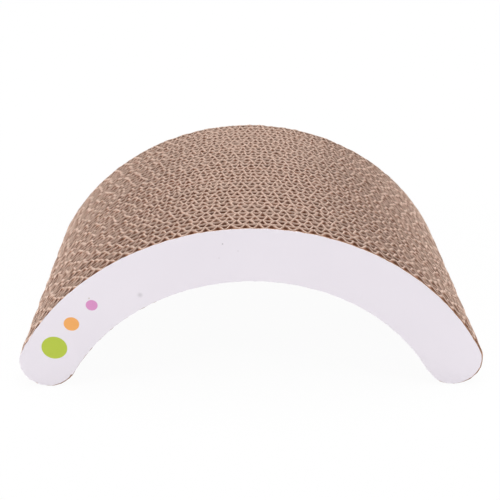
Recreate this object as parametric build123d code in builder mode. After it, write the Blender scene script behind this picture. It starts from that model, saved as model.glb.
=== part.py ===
"""Arched cardboard cat scratcher.

Die-cut corrugated boards of one outline are glued face to face from front to back. A thin printed sheet
covers each outer face. The arch is a bent band of one thickness with round ends, which are its feet. X runs
from foot to foot, Y from front to back and Z up. Each board is a flat liner with flutes on its front. The
flutes stand upright, so they open in the curved top.
"""

import os
from math import asin, atan2, ceil, cos, pi, radians, sin, sqrt

from build123d import *

# Outline of the arch, in millimetres
span = 420.0  # across both feet
height = 159.0  # floor to the top of the crown
depth = 270.0  # front cover to back cover
band = 50.8  # thickness of the arch from its outer curve to the hollow under it

# Corrugated boards
board_count = 34
flute_pitch = 11.0  # crest to crest
liner_thickness = 0.6

# Cover sheets
cover_thickness = 0.7
cover_inset = 1.0  # the sheets stop short of the boards' cut edge

# The outline's curves are straight runs, so that the whole stack keeps few faces
run_turn = 10.0  # degrees, about the most that a long curve turns along one run
foot_turn = 31.0  # degrees, the most that a foot turns along one run

# Places worked out from the sizes above
board_thickness = (depth - 2 * cover_thickness) / board_count
front_of_stack = cover_thickness - depth / 2
foot_radius = band / 2
foot_x = span / 2 - foot_radius
outer_radius = ((height - foot_radius) ** 2 + foot_x**2 - foot_radius**2) / (2 * (height - band))
hollow_radius = outer_radius - band
arch_centre = height - outer_radius
foot_angle = atan2(foot_radius - arch_centre, foot_x)
flutes_each_side = ceil(span / 2 / flute_pitch)


def foot_points(radius):
    """Points round the right foot, from the end of the hollow under it to the start of the outer curve."""
    stops = [foot_angle - pi, -pi / 2, 0, foot_angle]
    angles = [stops[0]]
    for start, end in zip(stops, stops[1:]):
        runs = ceil((end - start) / radians(foot_turn))
        angles += [start + (end - start) * run / runs for run in range(1, runs + 1)]
    return [(foot_x + radius * cos(angle), foot_radius + radius * sin(angle)) for angle in angles]


def run_places(radius):
    """Where the runs of a long curve meet, from right to left: at the crown and at flute crests."""
    end_x = radius * cos(foot_angle)
    places = []
    turned = 0
    for crest in range(1, flutes_each_side):
        x = crest * flute_pitch
        next_x = min(x + flute_pitch, end_x)
        if x < end_x - flute_pitch / 2 and asin(next_x / radius) - turned > radians(run_turn):
            places.append(x)
            turned = asin(x / radius)
    return places[::-1] + [0] + [-x for x in places]


def curve_points(radius, places):
    """Points of a long curve of that radius, at the given distances from the crown."""
    return [(x, arch_centre + sqrt(radius**2 - x**2)) for x in places]


def arch_points(inset):
    """The closed outline, drawn in from the boards' cut edge by that much."""
    right_foot = foot_points(foot_radius - inset)
    left_foot = [(-x, z) for x, z in reversed(right_foot)]
    outer = curve_points(outer_radius - inset, run_places(outer_radius))
    hollow = curve_points(hollow_radius + inset, run_places(hollow_radius))
    return right_foot + outer + left_foot + hollow[::-1]


def flute_points(shift):
    """Plan of one board: a zigzag from crest to valley along its front, and its flat back."""
    valley = board_thickness - liner_thickness
    half_steps = 2 * flutes_each_side + 1
    end_x = half_steps * flute_pitch / 2
    zigzag = []
    for step in range(-half_steps, half_steps + 1):
        is_crest = (step + shift) % 2 == 0
        zigzag.append((step * flute_pitch / 2, 0 if is_crest else valley))
    return zigzag + [(end_x, board_thickness), (-end_x, board_thickness)]


def save(builder, name):
    """Labels a finished piece and writes it."""
    builder.part.label = name
    export_step(builder.part, f"parts/{name}.step")


def corrugated_board(shift):
    """One board with its front on the XZ plane. A shift of one puts the flutes half a pitch across."""
    with BuildPart() as board:
        with BuildSketch():
            with BuildLine():
                Polyline(*flute_points(shift), close=True)
            make_face()
        extrude(amount=height)
        with BuildSketch(Plane.XZ):
            with BuildLine():
                Polyline(*arch_points(0), close=True)
            make_face()
        extrude(amount=-board_thickness, mode=Mode.INTERSECT)
    return board.part


def place_board(number):
    """A board of the stack, counted from the front. The flutes of every other one are shifted."""
    with BuildPart() as board:
        with Locations((0, front_of_stack + (number - 1) * board_thickness, 0)):
            add(board_kinds[number % len(board_kinds)])
    save(board, f"board_{number:02d}")


def make_cover(name, front):
    """One printed sheet, glued to the face of the outermost board."""
    with BuildPart() as cover:
        with BuildSketch(Plane.XZ.offset(-front)):
            with BuildLine():
                Polyline(*arch_points(cover_inset), close=True)
            make_face()
        extrude(amount=-cover_thickness)
    save(cover, name)


os.makedirs("parts", exist_ok=True)
board_kinds = [corrugated_board(0), corrugated_board(1)]
for number in range(1, board_count + 1):
    place_board(number)
make_cover("front_cover", front_of_stack - cover_thickness)
make_cover("back_cover", depth / 2 - cover_thickness)
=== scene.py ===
import math
import random
from collections import namedtuple

import bpy
from mathutils import Euler, Matrix, Vector, noise


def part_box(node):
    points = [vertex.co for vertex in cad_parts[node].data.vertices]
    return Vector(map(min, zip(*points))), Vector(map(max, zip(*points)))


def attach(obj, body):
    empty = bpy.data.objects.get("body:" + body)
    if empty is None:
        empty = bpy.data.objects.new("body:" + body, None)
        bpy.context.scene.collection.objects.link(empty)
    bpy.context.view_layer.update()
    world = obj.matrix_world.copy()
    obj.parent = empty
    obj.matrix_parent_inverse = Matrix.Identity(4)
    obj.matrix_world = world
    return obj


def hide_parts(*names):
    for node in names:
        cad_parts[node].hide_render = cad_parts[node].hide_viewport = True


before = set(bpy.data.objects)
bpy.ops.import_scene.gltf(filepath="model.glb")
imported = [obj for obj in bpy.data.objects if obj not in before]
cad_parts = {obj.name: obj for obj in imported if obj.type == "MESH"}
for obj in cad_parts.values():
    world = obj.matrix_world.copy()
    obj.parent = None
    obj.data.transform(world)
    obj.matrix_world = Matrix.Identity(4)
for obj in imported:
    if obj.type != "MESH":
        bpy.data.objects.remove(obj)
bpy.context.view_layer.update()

# Places and sizes in metres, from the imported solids
BOARDS = sorted(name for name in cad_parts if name.startswith("board_"))
FIRST_LOW, FIRST_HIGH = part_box(BOARDS[0])
SPAN = FIRST_HIGH.x - FIRST_LOW.x
HEIGHT = FIRST_HIGH.z
STACK_FRONT = FIRST_LOW.y
BOARD_THICKNESS = FIRST_HIGH.y - FIRST_LOW.y

# Sizes that the solids are drawn from
BAND = 0.0508
FLUTE_PITCH = 0.0110

# Thicknesses of a board's two papers: the flat liner and the fluted medium
LINER = 0.0003
MEDIUM = 0.0003

# Curves of the arch: a bent band of one thickness, with round ends for its feet
FOOT_RADIUS = BAND / 2
FOOT_X = SPAN / 2 - FOOT_RADIUS
OUTER_RADIUS = ((HEIGHT - FOOT_RADIUS) ** 2 + FOOT_X**2 - FOOT_RADIUS**2) / (2 * (HEIGHT - BAND))
HOLLOW_RADIUS = OUTER_RADIUS - BAND
ARCH_CENTRE = HEIGHT - OUTER_RADIUS
FOOT_ANGLE = math.atan2(FOOT_RADIUS - ARCH_CENTRE, FOOT_X)
OUTER_END = OUTER_RADIUS * math.cos(FOOT_ANGLE)
HOLLOW_END = HOLLOW_RADIUS * math.cos(FOOT_ANGLE)

# Points along each curve of a flat sheet
OUTER_STEPS = 240
HOLLOW_STEPS = 180
FOOT_STEPS = 50

# Columns of an upright paper, across one flute and round a foot's outer half
FLUTE_COLUMNS = 12
FOOT_COLUMNS = 24

# Rows of an upright paper: share of its height, and share of a pitch that its wave is off there.
# The flutes are upright near their open ends. Deep inside they are folded to either side, so that
# no light falls straight through them. The folds fade out before the feet.
LINER_ROWS = [(0, 0), (1, 0)]
FLUTE_ROWS = [(0, 0), (0.2, 0), (0.35, 0.75), (0.5, 0.25), (0.65, 0.5), (0.8, 0), (1, 0)]
FOLD_SHARPNESS = 1.5
FOLD_FADE = 0.02

# Smooth random changes along a paper: how far they reach, how many come to a metre, and two numbers
# that keep one paper apart from the next and one kind of change from another
Wobble = namedtuple("Wobble", "reach detail spread layer")

# Fraying and unevenness of an upright paper's die-cut edges, in metres
LOWER_EDGE = [Wobble(0.0004, 400, 5.9, 0), Wobble(0.0006, 140, 3.1, 0)]
UPPER_EDGE = [Wobble(0.0004, 400, 5.9, 9), Wobble(0.0006, 140, 3.1, 5)]

# Fraying of a flat sheet's outline: how far it reaches, how many frays come to a metre, and what
# keeps those across apart from those up and down
SHEET_RAGGED = 0.0004
SHEET_DETAIL = 240
SHEET_LAYER = Vector((0, 7.5, 0))

# How far a liner bows towards its neighbours, in metres
LINER_BOW = [Wobble(0.0004, 16, 2.7, 11), Wobble(0.00024, 60, 6.1, 17)]

# How the flutes differ: wander of the wave along a board and from board to board, in radians, how
# much of the most crush a crest has, above and below a half, and how blunt the crests are
FLUTE_WANDER = [Wobble(1.2, 22, 7.3, 0), Wobble(1.3, 75, 4.7, 3)]
BOARD_WANDER = [Wobble(2.4 * math.tau, 0.37, 0, 23)]
FLUTE_CRUSH = [Wobble(0.5, 70, 3.1, 5)]
MOST_CRUSH = 0.2
CREST_ROUNDING = 0.2

# Chance for each board: how far it lies off its place, and how far its wave and its pitch are off
BOARD_SEED = 100
BOARD_SLIP = 0.0005
PHASE_SCATTER = 1.8
PITCH_SCATTER = 0.07

# The covers were glued on a little off their place: they stop short of the boards' outer edge and
# reach past the hollow's edge
COVER_INSET = 0.0010
COVER_OVERHANG = 0.0003
COVER_SHIFT = Vector((-0.0007, 0, 0.0002))

# Numbers that keep the frayed outlines of the flat sheets and of a board's two papers apart
FRONT_LINER_SEED = 0
COVER_SEED = 50
MEDIUM_SEED_STEP = 0.5

# Edges between faces that meet at less than this angle are shaded smooth
SMOOTH_ANGLE = math.radians(35)

# Spots printed on the front cover: place across, height, radius and ink
SPOTS = [
    (-0.17713, 0.04138, 0.01150, (0.462, 0.562, 0.058, 1)),
    (-0.15998, 0.06591, 0.00687, (0.868, 0.405, 0.120, 1)),
    (-0.14082, 0.08480, 0.00522, (0.690, 0.284, 0.545, 1)),
]

# Scuffs and specks on the front cover: place across, height, radius and colour
SCUFFS = [
    (-0.09809, 0.09489, 0.0036, (0.640, 0.600, 0.650, 1)),
    (-0.02581, 0.14403, 0.0010, (0.400, 0.360, 0.400, 1)),
    (-0.14264, 0.09177, 0.0012, (0.560, 0.470, 0.430, 1)),
    (-0.01265, 0.13737, 0.0010, (0.690, 0.640, 0.690, 1)),
    (-0.02892, 0.13074, 0.0010, (0.690, 0.640, 0.690, 1)),
]

# Colours of the raw board: the darker and the lighter tone of its cut edges and of its insides, the
# face round the front cover and the fibres. The inside tones are browner paper darkened with painted
# shade down the flutes, most on the liners
FLUTE_EDGE = ((0.73, 0.552, 0.458, 1), (0.86, 0.653, 0.548, 1))
LINER_EDGE = ((0.64, 0.485, 0.402, 1), (0.77, 0.585, 0.490, 1))
FLUTE_PAINTED_SHADE = ((0.410, 0.200, 0.122, 1), (0.530, 0.279, 0.179, 1))
LINER_PAINTED_SHADE = ((0.240, 0.113, 0.067, 1), (0.330, 0.168, 0.105, 1))
# The front liner's face is kraft brown darkened with painted shade, for the shade line along the cover's
# rim
FRONT_LINER_FACE = (0.40, 0.225, 0.145, 1)
FIBRE = (0.33, 0.21, 0.14, 1)

# Raw board: depths between which the pale cut edge gives way to the painted shade inside the flutes,
# and how far from the middle of its row a paper counts as liner, in thicknesses of a board
PAINTED_SHADE_DEPTH = (0.0004, 0.0021)
LINER_REACH = (0.42, 0.47)

# Raw board: blotches and fibres to a metre and how finely they break up, fibres drawn out upwards,
# the levels of noise between which they come out, and how strongly they tint and emboss the paper
BLOTCH_SCALE = 45
FIBRE_SCALE = 700
KRAFT_DETAIL = 3
FIBRE_STRETCH = (1, 1, 0.25)
FIBRE_SHOWS = (0.5, 0.75)
FIBRE_TINT = 0.35
FIBRE_EMBOSS = 0.35
FIBRE_HEIGHT = 0.0003

# Covers: colours of the print and of the sheet's core, depth of the print, and softness of a spot's
# rim
PRINT = ((0.795, 0.748, 0.808, 1), (0.835, 0.788, 0.844, 1))
COVER_CORE = (0.70, 0.63, 0.60, 1)
PRINT_DEPTH = 0.00015
SPOT_SOFTNESS = 0.0002

# Covers: clouds in the print and grain of the paper to a metre, how finely they break up, and how
# strongly the grain is embossed
CLOUD_SCALE = 14
GRAIN_SCALE = 900
COVER_DETAIL = 2
GRAIN_EMBOSS = 0.05
GRAIN_HEIGHT = 0.0002

# Roughness and shine of each finish
KRAFT_SURFACE = (0.9, 0.15)
COVER_SURFACE = (0.5, 0.3)
FLOOR_SURFACE = (0.95, 0)

# Stage: the floor's size and grey, the share of plain white that the camera sees on it, and the
# background's light
FLOOR_SIZE = 14
FLOOR_GREY = (0.75, 0.75, 0.75, 1)
FLOOR_GLOW = 0.96
WORLD_LIGHT = 0.20
WHITE = (1, 1, 1, 1)

# Soft boxes, all aimed at the arch: place, size and power
LAMP_AIM = Vector((0, 0, 0.10))
LAMPS = {
    "front_light": ((-0.20, -4.0, 1.00), 0.8, 6),
    "left_light": ((-3.45, -1.6, 1.65), 1.0, 84),
    "right_light": ((3.45, -1.6, 1.65), 1.0, 68),
    "back_light": ((0.3, 3.6, 1.70), 1.0, 45),
    "top_light": ((0, 0.3, 4.0), 3.2, 140),
}

# Camera: place in metres, lens and sensor in millimetres, and turns in degrees
CAMERA_PLACE = (-0.014126, -0.859306, 0.493408)
LENS = 68.133
SENSOR = 36
LOOKS_DOWN = 26.115
LOOKS_RIGHT = 0.926
ROLL = 0.265


# Selecting and modifiers


def deselect():
    if bpy.context.mode != "OBJECT":
        bpy.ops.object.mode_set(mode="OBJECT")
    bpy.ops.object.select_all(action="DESELECT")


def select(*pieces):
    deselect()
    for piece in pieces:
        piece.select_set(True)
    bpy.context.view_layer.objects.active = pieces[0]


def apply_modifier(piece, kind, **settings):
    select(piece)
    modifier = piece.modifiers.new(kind.lower(), kind)
    for name, setting in settings.items():
        setattr(modifier, name, setting)
    bpy.ops.object.modifier_apply(modifier=modifier.name)


# Cardboard


def arc(centre_x, centre_z, radius, start, end, steps):
    """Points along an arc in the XZ plane, without its end."""
    points = []
    for step in range(steps):
        angle = start + (end - start) * step / steps
        x = centre_x + radius * math.cos(angle)
        z = centre_z + radius * math.sin(angle)
        points.append(Vector((x, 0, z)))
    return points


def arch_outline(inset, overhang):
    """The closed outline of a flat sheet, drawn in by the inset but reaching past the hollow's edge."""
    foot = FOOT_RADIUS - inset
    left_angle = math.pi - FOOT_ANGLE
    right_foot = arc(FOOT_X, FOOT_RADIUS, foot, FOOT_ANGLE - math.pi, FOOT_ANGLE, FOOT_STEPS)
    outer = arc(0, ARCH_CENTRE, OUTER_RADIUS - inset, FOOT_ANGLE, left_angle, OUTER_STEPS)
    left_foot = arc(-FOOT_X, FOOT_RADIUS, foot, left_angle, math.tau - FOOT_ANGLE, FOOT_STEPS)
    hollow = arc(0, ARCH_CENTRE, HOLLOW_RADIUS - overhang, left_angle, FOOT_ANGLE, HOLLOW_STEPS)
    return right_foot + outer + left_foot + hollow


def top_of_board(x):
    """Height of the outer cut edge at x."""
    x = abs(x)
    if x < OUTER_END:
        return ARCH_CENTRE + math.sqrt(OUTER_RADIUS**2 - x**2)
    return FOOT_RADIUS + math.sqrt(FOOT_RADIUS**2 - (x - FOOT_X) ** 2)


def underside_of_board(x):
    """Height of the lower cut edge at x, in the hollow or under a foot."""
    x = abs(x)
    if x < HOLLOW_END:
        return ARCH_CENTRE + math.sqrt(HOLLOW_RADIUS**2 - x**2)
    return FOOT_RADIUS - math.sqrt(FOOT_RADIUS**2 - (x - FOOT_X) ** 2)


def flat_sheet(name, front, back, outline, shift, seed):
    """A die-cut sheet between two depths: a disc moved onto the outline and extruded."""
    deselect()
    bpy.ops.mesh.primitive_circle_add(vertices=len(outline), radius=SPAN, fill_type="NGON")
    sheet = bpy.context.object
    sheet.name = name
    for vertex, point in zip(sheet.data.vertices, outline):
        place = point * SHEET_DETAIL + Vector((0, seed, 0))
        across = noise.noise(place)
        up = noise.noise(place + SHEET_LAYER)
        vertex.co = point + shift + SHEET_RAGGED * Vector((across, 0, up))
        vertex.co.y = front
        vertex.co.z = max(vertex.co.z, 0)
    bpy.ops.object.mode_set(mode="EDIT")
    bpy.ops.mesh.select_all(action="SELECT")
    bpy.ops.mesh.extrude_region_move(TRANSFORM_OT_translate={"value": (0, back - front, 0)})
    bpy.ops.mesh.select_all(action="SELECT")
    bpy.ops.mesh.normals_make_consistent(inside=False)
    deselect()
    return sheet


def column_places():
    """Places across an upright paper: even between the feet's middles, then closer round each foot."""
    half_steps = round(FOOT_X / FLUTE_PITCH * FLUTE_COLUMNS)
    inner = [FOOT_X * step / half_steps for step in range(-half_steps, half_steps + 1)]
    foot = []
    for step in range(1, FOOT_COLUMNS):
        foot.append(FOOT_X + FOOT_RADIUS * math.sin(math.pi / 2 * step / FOOT_COLUMNS))
    return [-x for x in reversed(foot)] + inner + foot


COLUMNS = column_places()


def wobble(kinds, x, paper):
    """The sum of some smooth random changes at x on one paper."""
    total = 0
    for kind in kinds:
        total += kind.reach * noise.noise((x * kind.detail, paper * kind.spread, kind.layer))
    return total


def bow(seam, x):
    """How far the liner between two boards lies off its place at x. The outermost ones lie flat."""
    if seam in (0, len(BOARDS)):
        return 0
    return wobble(LINER_BOW, x, seam)


def upright_sheet(name, thickness, rows, depth_at, shift, seed):
    """A paper on edge from the underside to the top of the arch: a grid moved point by point."""
    deselect()
    last_column = len(COLUMNS) - 1
    last_row = len(rows) - 1
    bpy.ops.mesh.primitive_grid_add(x_subdivisions=last_column, y_subdivisions=last_row, size=1)
    sheet = bpy.context.object
    sheet.name = name
    for vertex in sheet.data.vertices:
        # The grid runs from -0.5 to 0.5 both ways
        x = COLUMNS[round((vertex.co.x + 0.5) * last_column)]
        share, fold = rows[round((vertex.co.y + 0.5) * last_row)]
        fold *= min(max((FOOT_X - abs(x)) / FOLD_FADE, 0), 1)
        low = underside_of_board(x) + wobble(LOWER_EDGE, x, seed)
        high = top_of_board(x) + wobble(UPPER_EDGE, x, seed)
        vertex.co = Vector((x, depth_at(x, fold), low + share * (high - low))) + shift
        vertex.co.z = max(vertex.co.z, 0)
    apply_modifier(sheet, "SOLIDIFY", thickness=thickness, offset=0)
    return sheet


def corrugated_board(number):
    """A liner with the fluted medium glued on its front. The first board has a liner on its front too."""
    chance = random.Random(BOARD_SEED + number)
    shift = Vector((chance.uniform(-BOARD_SLIP, BOARD_SLIP), 0, chance.uniform(0, BOARD_SLIP)))
    phase = wobble(BOARD_WANDER, number, 0) + chance.uniform(-PHASE_SCATTER, PHASE_SCATTER)
    pitch = FLUTE_PITCH * chance.uniform(1 - PITCH_SCATTER, 1 + PITCH_SCATTER)
    front = STACK_FRONT + (number - 1) * BOARD_THICKNESS + (LINER if number == 1 else 0)
    back = STACK_FRONT + number * BOARD_THICKNESS - LINER

    def liner_depth(x, fold):
        return back + LINER / 2 + bow(number, x)

    def medium_depth(x, fold):
        low = front + MEDIUM / 2 + bow(number - 1, x)
        high = back - MEDIUM / 2 + bow(number, x)
        turn = math.sin(math.tau * (x / pitch + fold) + phase + wobble(FLUTE_WANDER, x, number))
        if fold:
            swing = min(max(FOLD_SHARPNESS * turn, -1), 1)
        else:
            crush = 0.5 + wobble(FLUTE_CRUSH, x, number)
            rounded = turn * (1 + CREST_ROUNDING - CREST_ROUNDING * turn**2)
            swing = rounded * (1 - MOST_CRUSH * crush**2)
        return (low + high) / 2 + (high - low) / 2 * swing

    board = upright_sheet(f"corrugated_board_{number:02d}", LINER, LINER_ROWS, liner_depth, shift, number)
    medium_seed = number + MEDIUM_SEED_STEP
    layers = [board, upright_sheet("medium", MEDIUM, FLUTE_ROWS, medium_depth, shift, medium_seed)]
    if number == 1:
        outline = arch_outline(COVER_INSET / 2, 0)
        liner_back = STACK_FRONT + LINER
        liner = flat_sheet("front_liner", STACK_FRONT, liner_back, outline, Vector(), FRONT_LINER_SEED)
        layers.append(liner)
    select(*layers)
    bpy.ops.object.join()
    bpy.ops.object.shade_smooth_by_angle(angle=SMOOTH_ANGLE)
    return board


# Finishes


class Signal:
    """A value, colour or place in a material. Arithmetic on signals adds Math nodes."""

    def __init__(self, socket):
        self.socket = socket

    def node(self, kind, settings, inputs, output=0):
        """Adds any node to the same material: settings first, then values or links for its sockets."""
        tree = self.socket.id_data
        node = tree.nodes.new(kind)
        for name, setting in settings.items():
            setattr(node, name, setting)
        for name, value in inputs.items():
            if isinstance(value, Signal):
                tree.links.new(value.socket, node.inputs[name])
            else:
                node.inputs[name].default_value = value
        return Signal(node.outputs[output])

    def math(self, operation, first, second=0.0):
        return self.node("ShaderNodeMath", {"operation": operation}, {0: first, 1: second})

    def __add__(self, other):
        return self.math("ADD", self, other)

    def __sub__(self, other):
        return self.math("SUBTRACT", self, other)

    def __rsub__(self, other):
        return self.math("SUBTRACT", other, self)

    def __mul__(self, other):
        return self.math("MULTIPLY", self, other)

    def __truediv__(self, other):
        return self.math("DIVIDE", self, other)

    def __abs__(self):
        return self.math("ABSOLUTE", self)

    __radd__ = __add__
    __rmul__ = __mul__

    def root(self):
        return self.math("SQRT", self)

    def whole(self):
        return self.math("FLOOR", self)

    def least(self, other):
        return self.math("MINIMUM", self, other)

    def above(self, limit):
        return self.math("GREATER_THAN", self, limit)

    def rise(self, low, high):
        """Runs smoothly from 0 at low to 1 at high."""
        settings = {"interpolation_type": "SMOOTHSTEP"}
        inputs = {"Value": self, "From Min": low, "From Max": high}
        return self.node("ShaderNodeMapRange", settings, inputs)

    def tint(self, low, high):
        """A colour between two colours, by this signal."""
        return self.node("ShaderNodeMix", {"data_type": "RGBA"}, {0: self, 6: low, 7: high}, output=2)

    def stretched(self, x, y, z):
        return self.node("ShaderNodeVectorMath", {"operation": "MULTIPLY"}, {0: self, 1: (x, y, z)})

    def speckle(self, scale, detail):
        inputs = {"Vector": self, "Scale": scale, "Detail": detail}
        return self.node("ShaderNodeTexNoise", {}, inputs)

    def axis(self, name):
        return self.node("ShaderNodeSeparateXYZ", {}, {0: self}, output=name)


def new_finish(name, roughness, shine):
    """A material, its shader and the place on the piece that it is shaded at."""
    material = bpy.data.materials.new(name)
    material.use_nodes = True
    tree = material.node_tree
    shader = tree.nodes["Principled BSDF"]
    shader.inputs["Roughness"].default_value = roughness
    shader.inputs["Specular IOR Level"].default_value = shine
    place = Signal(tree.nodes.new("ShaderNodeTexCoord").outputs["Object"])
    return material, shader, place


def feed(shader, name, signal):
    signal.socket.id_data.links.new(signal.socket, shader.inputs[name])


def emboss(shader, relief, strength, height):
    inputs = {"Strength": strength, "Distance": height, "Height": relief}
    feed(shader, "Normal", relief.node("ShaderNodeBump", {}, inputs))


def reach(across, up):
    """Distance from a point, given how far across and up from it."""
    return (across * across + up * up).root()


def depth_in_flute(place):
    """How far a point of a board lies from the nearer open end of its flute, along the flute."""
    side = abs(place.axis("X"))
    z = place.axis("Z")
    foot_side = side - FOOT_X
    foot_rise = (FOOT_RADIUS**2 - foot_side * foot_side).root()
    foot_top = FOOT_RADIUS + foot_rise
    foot_bottom = FOOT_RADIUS - foot_rise
    outer = ARCH_CENTRE + (OUTER_RADIUS**2 - side * side).root()
    hollow = ARCH_CENTRE + (HOLLOW_RADIUS**2 - side * side).root()
    top = outer + side.above(OUTER_END) * (foot_top - outer)
    bottom = hollow + side.above(HOLLOW_END) * (foot_bottom - hollow)
    return (top - z).least(z - bottom)


def kraft_board():
    """Raw corrugated board: pale torn fibres along the cut edges, and browner paper with painted shade
    down inside the flutes, darkest on the liners.
    """
    material, shader, place = new_finish("kraft_board", *KRAFT_SURFACE)
    depth = depth_in_flute(place)
    boards_back = (place.axis("Y") - STACK_FRONT) / BOARD_THICKNESS
    row = boards_back.whole()
    on_liner = abs(boards_back - row - 0.5).rise(*LINER_REACH)
    row_tone = row.node("ShaderNodeTexWhiteNoise", {"noise_dimensions": "1D"}, {"W": row})
    blotch = place.speckle(BLOTCH_SCALE, KRAFT_DETAIL)
    fibre = place.stretched(*FIBRE_STRETCH).speckle(FIBRE_SCALE, KRAFT_DETAIL)
    edge = on_liner.tint(blotch.tint(*FLUTE_EDGE), blotch.tint(*LINER_EDGE))
    # Painted shade: the colour darkens with depth down each flute, more on the liners than on the medium
    inside = on_liner.tint(row_tone.tint(*FLUTE_PAINTED_SHADE), row_tone.tint(*LINER_PAINTED_SHADE))
    # The front liner's face colour is kraft brown darkened with painted shade along the cover's rim
    front_face = (STACK_FRONT + LINER - place.axis("Y")).above(0)
    paper = front_face.tint(depth.rise(*PAINTED_SHADE_DEPTH).tint(edge, inside), FRONT_LINER_FACE)
    feed(shader, "Base Color", (fibre.rise(*FIBRE_SHOWS) * FIBRE_TINT).tint(paper, FIBRE))
    emboss(shader, fibre, FIBRE_EMBOSS, FIBRE_HEIGHT)
    return material


def cover_paper(name, face_y, spots, scuffs):
    """Smooth lavender-white print on pale board, which shows at the sheet's cut edge."""
    material, shader, place = new_finish(name, *COVER_SURFACE)
    x = place.axis("X")
    z = place.axis("Z")
    colour = place.speckle(CLOUD_SCALE, COVER_DETAIL).tint(*PRINT)
    for spot_x, spot_z, radius, ink in spots:
        distance = reach(x - spot_x, z - spot_z)
        inked = 1 - distance.rise(radius - SPOT_SOFTNESS, radius + SPOT_SOFTNESS)
        colour = inked.tint(colour, ink)
    for scuff_x, scuff_z, radius, stain in scuffs:
        stained = 1 - reach(x - scuff_x, z - scuff_z).rise(0, radius)
        colour = stained.tint(colour, stain)
    is_core = abs(place.axis("Y") - face_y).above(PRINT_DEPTH)
    feed(shader, "Base Color", is_core.tint(colour, COVER_CORE))
    emboss(shader, place.speckle(GRAIN_SCALE, COVER_DETAIL), GRAIN_EMBOSS, GRAIN_HEIGHT)
    return material


# Pieces


def set_in_stack(piece, material, node):
    piece.data.materials.clear()
    piece.data.materials.append(material)
    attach(piece, "root")
    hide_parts(node)


def cover_sheet(node, spots, scuffs, print_in_front):
    low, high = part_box(node)
    outline = arch_outline(COVER_INSET, COVER_OVERHANG)
    sheet = flat_sheet(f"{node}_sheet", low.y, high.y, outline, COVER_SHIFT, COVER_SEED)
    select(sheet)
    bpy.ops.object.shade_smooth_by_angle(angle=SMOOTH_ANGLE)
    paper = cover_paper(f"{node}_paper", low.y if print_in_front else high.y, spots, scuffs)
    set_in_stack(sheet, paper, node)


kraft = kraft_board()
for number, node in enumerate(BOARDS, start=1):
    set_in_stack(corrugated_board(number), kraft, node)
cover_sheet("front_cover", SPOTS, SCUFFS, print_in_front=True)
cover_sheet("back_cover", [], [], print_in_front=False)


# Stage, light and camera


def white_to_camera(light_path):
    """1 where the camera sees the surface itself, or sees it mirrored or through glass."""
    names = ("Is Camera Ray", "Is Glossy Ray", "Is Transmission Ray")
    seen, mirrored, through = [Signal(light_path.outputs[name]) for name in names]
    return (seen + mirrored + through).least(1)


def studio_floor():
    """A white floor. The camera sees it mostly as plain white, with the object's shadow left faint."""
    deselect()
    bpy.ops.mesh.primitive_plane_add(size=FLOOR_SIZE)
    floor = bpy.context.object
    floor.name = "studio_floor"
    material, shader, _ = new_finish("floor_white", *FLOOR_SURFACE)
    shader.inputs["Base Color"].default_value = FLOOR_GREY
    tree = material.node_tree
    seen = white_to_camera(tree.nodes.new("ShaderNodeLightPath"))
    glow = seen.node("ShaderNodeEmission", {}, {"Color": WHITE, "Strength": 1})
    layers = {0: seen * FLOOR_GLOW, 1: Signal(shader.outputs[0]), 2: glow}
    feed(tree.nodes["Material Output"], "Surface", seen.node("ShaderNodeMixShader", {}, layers))
    floor.data.materials.append(material)


def studio_world():
    """Even light from all round, plain white where the camera sees it."""
    world = bpy.data.worlds.new("studio_world")
    bpy.context.scene.world = world
    world.use_nodes = True
    tree = world.node_tree
    seen = white_to_camera(tree.nodes.new("ShaderNodeLightPath"))
    background = tree.nodes["Background"]
    background.inputs["Color"].default_value = WHITE
    feed(background, "Strength", WORLD_LIGHT + (1 - WORLD_LIGHT) * seen)


def soft_box(name, place, size, power):
    lamp = bpy.data.lights.new(name, "AREA")
    lamp.size = size
    lamp.energy = power
    light = bpy.data.objects.new(name, lamp)
    light.location = place
    light.rotation_euler = (LAMP_AIM - Vector(place)).to_track_quat("-Z", "Y").to_euler()
    bpy.context.scene.collection.objects.link(light)


def photo_camera():
    """The photograph's view: nearly square to the front, from above, through a long lens."""
    data = bpy.data.cameras.new("photo_camera")
    data.sensor_width = SENSOR
    data.lens = LENS
    camera = bpy.data.objects.new("photo_camera", data)
    camera.location = CAMERA_PLACE
    aim = Euler((math.radians(90 - LOOKS_DOWN), 0, math.radians(-LOOKS_RIGHT))).to_matrix()
    camera.rotation_euler = (aim @ Matrix.Rotation(math.radians(ROLL), 3, "Z")).to_euler()
    bpy.context.scene.collection.objects.link(camera)
    bpy.context.scene.camera = camera


studio_floor()
studio_world()
for name, (place, size, power) in LAMPS.items():
    soft_box(name, place, size, power)
photo_camera()
bpy.context.scene.view_settings.view_transform = "Standard"
